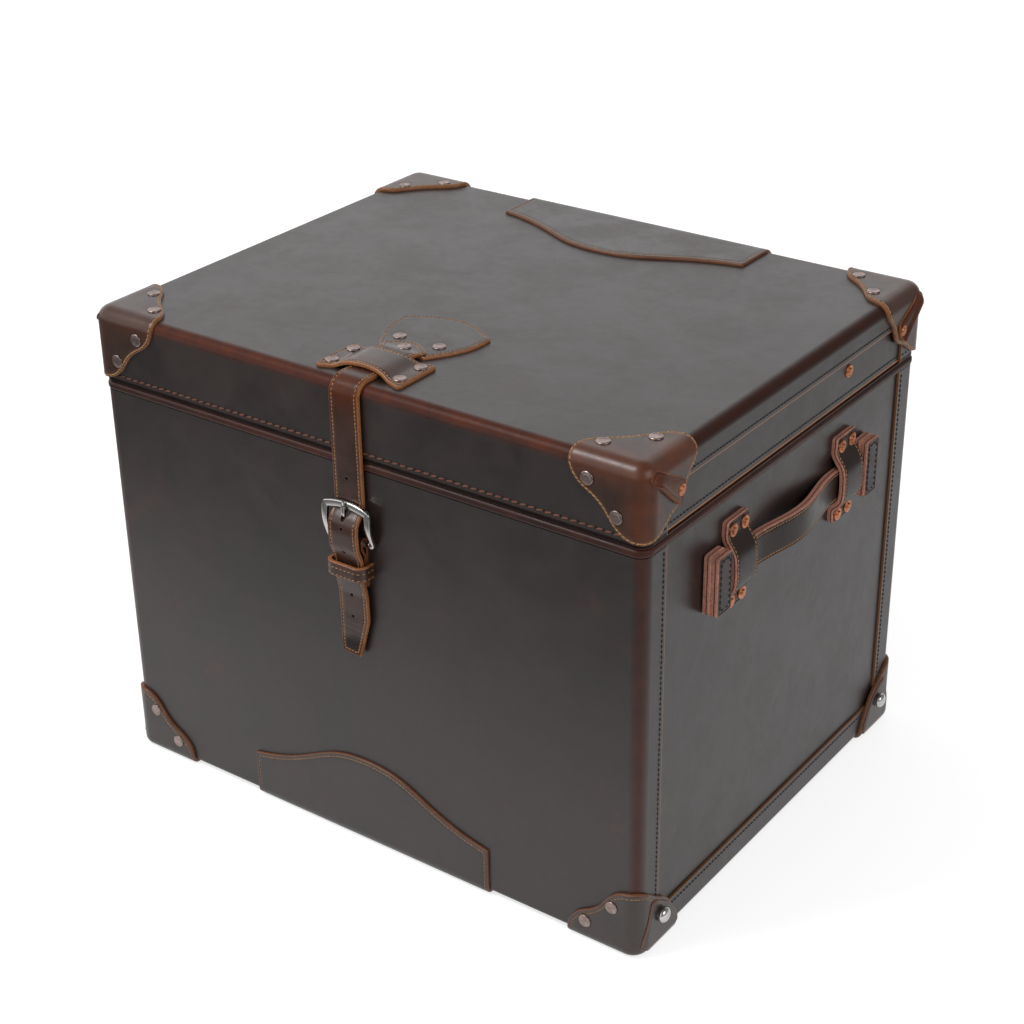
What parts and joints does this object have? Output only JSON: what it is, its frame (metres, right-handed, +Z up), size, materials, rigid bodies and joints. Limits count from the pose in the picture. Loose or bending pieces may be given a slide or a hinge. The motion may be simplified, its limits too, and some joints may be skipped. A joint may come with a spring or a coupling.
{
  "type": "leather trunk",
  "caption": "Leather-covered box trunk with a hinged lid, moulded corner caps, a buckled front strap and a carrying handle on each side.",
  "frame": {"origin": "middle of the footprint, on the floor", "axes": "+X to the right along the front, +Y from the front with its strap to the hinged back, +Z up"},
  "size_m": [0.524, 0.4189, 0.4048],
  "materials": {
    "plywood": "sanded",
    "panel_leather": "waxed pull-up leather, satin",
    "cap_leather": "moulded and burnished, satin",
    "patch_leather": "satin",
    "strap_leather": "satin with tan cut edges",
    "edge_leather": "rolled and rubbed",
    "lining_cloth": "plain cotton",
    "polished_steel": "polished",
    "steel": "satin",
    "pewter_nails": "antique pewter",
    "copper": "aged copper"
  },
  "bodies": {
    "trunk": {"base_board": "plywood", "front_board": "plywood", "back_board": "plywood", "left_board": "plywood", "right_board": "plywood", "front_leather": "panel_leather", "back_leather": "panel_leather", "left_leather": "panel_leather", "right_leather": "panel_leather", "base_leather": "panel_leather", "rim_welt": "edge_leather", "body_lining": "lining_cloth", "base_cap_front_left": "cap_leather", "base_cap_front_right": "cap_leather", "base_cap_back_left": "cap_leather", "base_cap_back_right": "cap_leather", "body_nails": "pewter_nails", "base_studs": "steel", "front_patch": "patch_leather", "handle_loops_right": "strap_leather", "handle_loops_left": "strap_leather", "handle_rivets": "copper", "buckle_chape": "strap_leather", "strap_keeper": "strap_leather", "hinge_body_leaves": "steel", "hinge_pins": "steel", "hinge_body_nails": "pewter_nails", "lid_stay_right": "strap_leather", "lid_stay_left": "strap_leather"},
    "lid": {"lid_top_board": "plywood", "lid_front_board": "plywood", "lid_back_board": "plywood", "lid_left_board": "plywood", "lid_right_board": "plywood", "lid_leather": "panel_leather", "lid_band_left": "panel_leather", "lid_band_right": "panel_leather", "lid_lining": "lining_cloth", "lid_binding": "edge_leather", "lid_cap_front_left": "cap_leather", "lid_cap_front_right": "cap_leather", "lid_cap_back_left": "cap_leather", "lid_cap_back_right": "cap_leather", "lid_nails": "pewter_nails", "lid_copper_rivets": "copper", "rear_patch": "patch_leather", "shield_patch": "patch_leather", "strap_bridge": "strap_leather", "strap_nails": "pewter_nails", "strap_root": "strap_leather", "hinge_lid_leaves": "steel", "hinge_lid_nails": "pewter_nails"},
    "strap": {"strap_fall": "strap_leather"},
    "buckle": {"buckle_frame": "polished_steel"},
    "prong": {"buckle_prong": "polished_steel"},
    "handle_right": {"handle_strap_right": "strap_leather", "handle_stops_right": "strap_leather"},
    "handle_left": {"handle_strap_left": "strap_leather", "handle_stops_left": "strap_leather"}
  },
  "joints": [
    {"name": "lid_hinge", "type": "hinge", "parent": "trunk", "child": "lid", "pos_m": [0, 0.2033, 0.33875], "axis": [-1, 0, 0], "range_deg": [0, 105], "deforming": ["lid_stay_right", "lid_stay_left"]},
    {"name": "strap_fold", "type": "hinge", "parent": "lid", "child": "strap", "pos_m": [0, -0.2027, 0.384], "axis": [-1, 0, 0], "range_deg": [0, 90], "deforming": ["strap_fall"]},
    {"name": "buckle_frame_pivot", "type": "hinge", "parent": "trunk", "child": "buckle", "pos_m": [0, -0.20335, 0.275], "axis": [1, 0, 0], "range_deg": [0, 90]},
    {"name": "buckle_prong_pivot", "type": "hinge", "parent": "buckle", "child": "prong", "pos_m": [0, -0.20335, 0.275], "axis": [1, 0, 0], "range_deg": [0, 45]},
    {"name": "handle_right_slide", "type": "slide", "parent": "trunk", "child": "handle_right", "axis": [0, 1, 0], "range_m": [-0.0045, 0.0045]},
    {"name": "handle_left_slide", "type": "slide", "parent": "trunk", "child": "handle_left", "axis": [0, 1, 0], "range_m": [-0.0045, 0.0045]}
  ]
}
